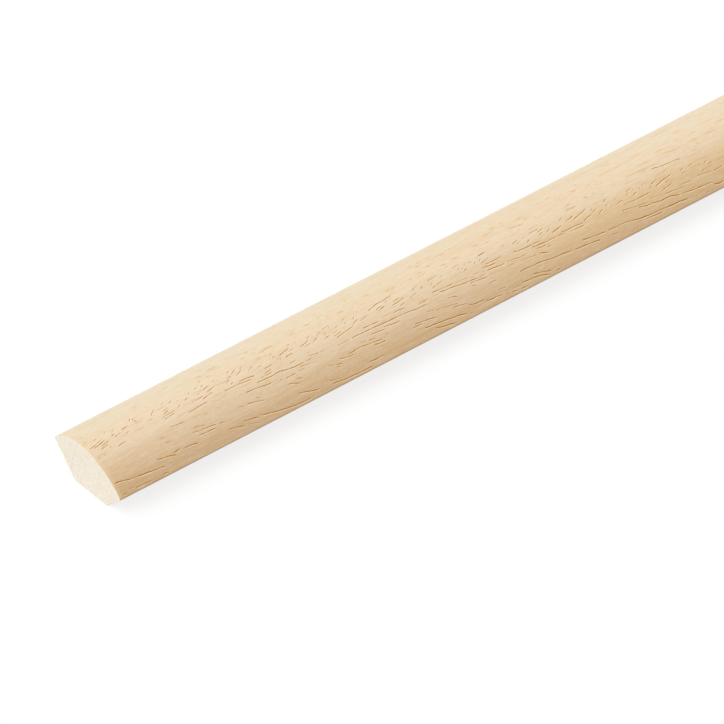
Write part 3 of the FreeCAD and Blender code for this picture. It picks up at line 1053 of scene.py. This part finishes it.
# Relief of the three surfaces, how strongly it acts, their sheen, and how rough the sawn ends are
FACE_RELIEF = 0.03
PLANED_RELIEF = 0.04
SAWN_RELIEF = 0.06
BUMP_STRENGTH = 0.6
FACE_SPECULAR = 0.35
PLANED_SPECULAR = 0.3
SAWN_SPECULAR = 0.2
SAWN_ROUGHNESS = 0.85

# The middle of the growth rings that the sawn ends show, far outside the section
PITH = (0.0, -55.0, -8.0)


def grain_coordinates(n):
    """Millimetres along and across the strip, bent a little so that the streaks wander as they run."""
    position = n.millimetres()
    drift = n.vector("MULTIPLY", n.grain(position, *SLOW, output="Color"), (0.0, DRIFT, DRIFT))
    return position, n.vector("ADD", position, drift)


def patch(n, bent, from_end, middle, half_length, half_width, strength):
    """How strong a deeper patch is at a place, fully so round its middle and not at all past its rim."""
    off = n.vector("ADD", bent, (LENGTH / 2 - from_end, -middle - DRIFT / 2, 0.0))
    shares = n.vector("MULTIPLY", off, (1 / half_length, 1 / half_width, 0.0))
    return n.range(n.vector("LENGTH", shares, output="Value"), 1.0, 0.3, 0.0, strength)


def finished_wood():
    """The rounded face: pale wood under a satin finish, with streaks, soft flecks, fibre and dark pores,
    painted shade down the flank and in the pores, a painted sheen towards the wall leg and painted
    highlights on the pores' lower walls.
    """
    material, n = new_material("finished_wood")
    position, bent = grain_coordinates(n)
    x, y, _ = n.add("ShaderNodeSeparateXYZ", {0: position}).outputs
    bands, streaks, flecks, fibre = (n.grain(bent, *rates) for rates in (BANDS, STREAKS, FLECKS, FIBRE))
    grit = n.grain(position, *GRIT)

    # Towards the wall leg the colour goes greyer, a painted sheen, and down the flank to a darker tan,
    # partly the wood's tone and partly painted shade
    side = n.range(y, *CROWN_TO_FLANK, soft=False)
    shifted = n.math("ADD", side, n.range(bands, 0.3, 0.7, -0.2, 0.2), clamp=True)
    colour = n.mix(shifted, n.mix(n.range(y, *CROWN_TO_TOP), PALE, PAINTED_SHEEN), TAN_AND_SHADE)
    for *place, deeper in PATCHES:
        colour = n.mix(patch(n, bent, *place), colour, deeper)

    on_flank = n.range(side, 0.0, 1.0, 0.55, 1.1, soft=False)
    for texture, darker, paler in ((streaks, 0.60, 0.42), (fibre, 0.70, 0.42), (grit, 0.45, 0.28)):
        dark = n.math("MULTIPLY", n.range(texture, 0.48, 0.80, 0.0, darker), on_flank)
        pale = n.math("MULTIPLY", n.range(texture, 0.50, 0.20, 0.0, paler), on_flank)
        colour = n.mix(pale, n.mix(dark, colour, OCHRE), STRAW)
    colour = n.tint(colour, (flecks, 0.58, 0.78, 0.60, OCHRE))
    low_bands = n.range(n.grain(bent, *LOW_BANDS), 0.45, 0.70, 0.0, 0.75)
    colour = n.mix(n.math("MULTIPLY", low_bands, n.range(y, *FLANK_TO_LOW)), colour, OCHRE)

    starts, full = (LENGTH / 2 - reach for reach in MARGIN_REACH)
    ragged = n.math("ADD", n.math("ABSOLUTE", x), n.range(grit, 0.3, 0.7, -0.25, 0.25))
    strength = n.range(y, *MARGIN_SIDES, 0.1, 0.6)
    colour = n.mix(n.math("MULTIPLY", n.range(ragged, starts, full), strength), colour, MARGIN)

    pore_and_highlight = n.attribute("pore_and_highlight")
    # Pores darken their upper wall, which faces away from the lamp: partly the pores' own darker colour,
    # partly painted shade
    colour = n.mix(pore_and_highlight, colour, PORE_COLOUR_AND_SHADE)
    # Below zero the attribute paints a highlight on a pore's lower wall, which faces the lamp
    colour = n.mix(n.math("MULTIPLY", pore_and_highlight, -1.0), colour, PAINTED_HIGHLIGHT)
    colour = n.mix(n.attribute("stain"), colour, STAIN)

    in_pore = n.math("MULTIPLY", n.math("MAXIMUM", pore_and_highlight, 0.0), 0.3)
    roughness = n.math("ADD", n.range(streaks, 0.2, 0.8, 0.46, 0.58), in_pore)
    height = n.math("ADD", n.math("ADD", fibre, streaks), n.math("MULTIPLY", grit, 0.5))
    n.finish(colour, roughness, height, FACE_RELIEF, FACE_SPECULAR)
    return material


def bare_wood():
    """The legs and the bevel: the same wood as it left the planer."""
    material, n = new_material("planed_wood")
    position, bent = grain_coordinates(n)
    bands, streaks, fibre = (n.grain(bent, *rates) for rates in (PLANED_BANDS, PLANED_STREAKS, PLANED_FIBRE))
    colour = n.tint(
        BARE,
        (bands, 0.35, 0.7, 1.0, TAN_AND_SHADE),
        (streaks, 0.45, 0.8, 0.3, OCHRE),
        (fibre, 0.5, 0.2, 0.25, CREAM),
    )
    # Pores darken along their deepest line: partly their own darker colour, partly painted shade in the
    # hollow
    colour = n.mix(n.attribute("pore_and_highlight"), colour, PORE_COLOUR_AND_SHADE)
    waves = n.add("ShaderNodeTexWave", {"Vector": position, "Scale": 0.22, "Distortion": 0.6})
    height = n.math("ADD", fibre, n.math("MULTIPLY", waves.outputs["Fac"], 0.35))
    n.finish(colour, n.range(fibre, 0.2, 0.8, 0.66, 0.82), height, PLANED_RELIEF, PLANED_SPECULAR)
    return material


def sawn_end():
    """End grain, bare from the saw: pale cream with faint growth rings, fine specks and some mottling."""
    material, n = new_material("sawn_end")
    position = n.millimetres()
    mottle, specks, holes = (n.grain(position, *rates) for rates in (MOTTLE, SPECKS, HOLES))
    in_section = n.vector("MULTIPLY", position, (0.0, 1.0, 1.0))
    from_pith = n.vector("DISTANCE", in_section, PITH, output="Value")
    distance = n.add("ShaderNodeCombineXYZ", {0: from_pith, 1: n.math("MULTIPLY", mottle, 1.5)})
    rings = n.noise(distance.outputs[0], 0.9, 3.0, 0.6)
    colour = n.tint(
        CREAM,
        (mottle, 0.35, 0.7, 0.45, BARE),
        (rings, 0.50, 0.75, 0.22, TAN_AND_SHADE),
        (specks, 0.48, 0.75, 0.40, OCHRE),
        (specks, 0.50, 0.25, 0.50, CHALK),
        # Open pores of the end grain, dark partly from their own colour and partly as painted shade in the
        # holes
        (holes, 0.74, 0.84, 0.50, PORE_COLOUR_AND_SHADE),
    )
    height = n.math("ADD", specks, mottle)
    n.finish(colour, SAWN_ROUGHNESS, height, SAWN_RELIEF, SAWN_SPECULAR)
    return material


# Half the floor's side, its own grey, the grey that the camera sees and the glow that brings that to white
FLOOR_HALF = 60000.0
FLOOR_GREY = 0.5
FLOOR_SEEN_GREY = 0.20
FLOOR_GLOW = 0.80

# The lamp's share of light along -X, +Y and +Z, how wide it looks, and the even light from all round
LAMP = (-0.53, 0.20, 0.58)
LAMP_ANGLE = 70.0
SKY = 0.5


def seen_directly(n):
    """1 for what the camera, a mirror or glass sees, and 0 for the light that things get."""
    path = n.add("ShaderNodeLightPath")
    either = n.math("MAXIMUM", path.outputs["Is Camera Ray"], path.outputs["Is Glossy Ray"])
    return n.math("MAXIMUM", either, path.outputs["Is Transmission Ray"])


def make_floor():
    """A wide white sheet that the strip lies on, which keeps its shadow."""
    half = FLOOR_HALF * MM
    corners = [(-half, -half, 0), (half, -half, 0), (half, half, 0), (-half, half, 0)]
    mesh = bpy.data.meshes.new("floor")
    mesh.from_pydata(corners, [], [(0, 1, 2, 3)])
    material, n = new_material("floor_white")
    seen = seen_directly(n)
    grey = n.range(seen, 0.0, 1.0, FLOOR_GREY, FLOOR_SEEN_GREY, soft=False)
    diffuse = n.add("ShaderNodeBsdfDiffuse", {"Color": grey})
    glow = n.add("ShaderNodeEmission", {"Strength": n.math("MULTIPLY", seen, FLOOR_GLOW)})
    both = n.add("ShaderNodeAddShader", {0: diffuse.outputs[0], 1: glow.outputs[0]})
    n.add("ShaderNodeOutputMaterial", {"Surface": both.outputs[0]})
    mesh.materials.append(material)
    place_object("floor", mesh)


def make_light():
    """An even white surround and one broad, soft lamp from above and behind, on the near end's side."""
    world = bpy.data.worlds.new("surround")
    world.use_nodes = True
    bpy.context.scene.world = world
    n = Nodes(world)
    strength = n.range(seen_directly(n), 0.0, 1.0, SKY, 1.0, soft=False)
    white = n.add("ShaderNodeBackground", {"Color": (1.0, 1.0, 1.0, 1.0), "Strength": strength})
    n.add("ShaderNodeOutputWorld", {"Surface": white.outputs[0]})

    lamp = bpy.data.lights.new("soft_lamp", "SUN")
    lamp.energy = Vector(LAMP).length * math.pi
    lamp.angle = math.radians(LAMP_ANGLE)
    place_object("soft_lamp", lamp).rotation_quaternion = Vector(LAMP).to_track_quat("Z", "Y")


def make_strip():
    outline = Outline()
    mesh = StripMesh(outline, make_pores(outline)).build("moulding_strip")
    for material in (finished_wood(), bare_wood(), sawn_end()):
        mesh.materials.append(material)
    strip = place_object("moulding_strip", mesh)
    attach(strip, "root")
    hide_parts("quarter_round")


bpy.context.scene.view_settings.view_transform = "Standard"
make_camera()
make_strip()
make_floor()
make_light()
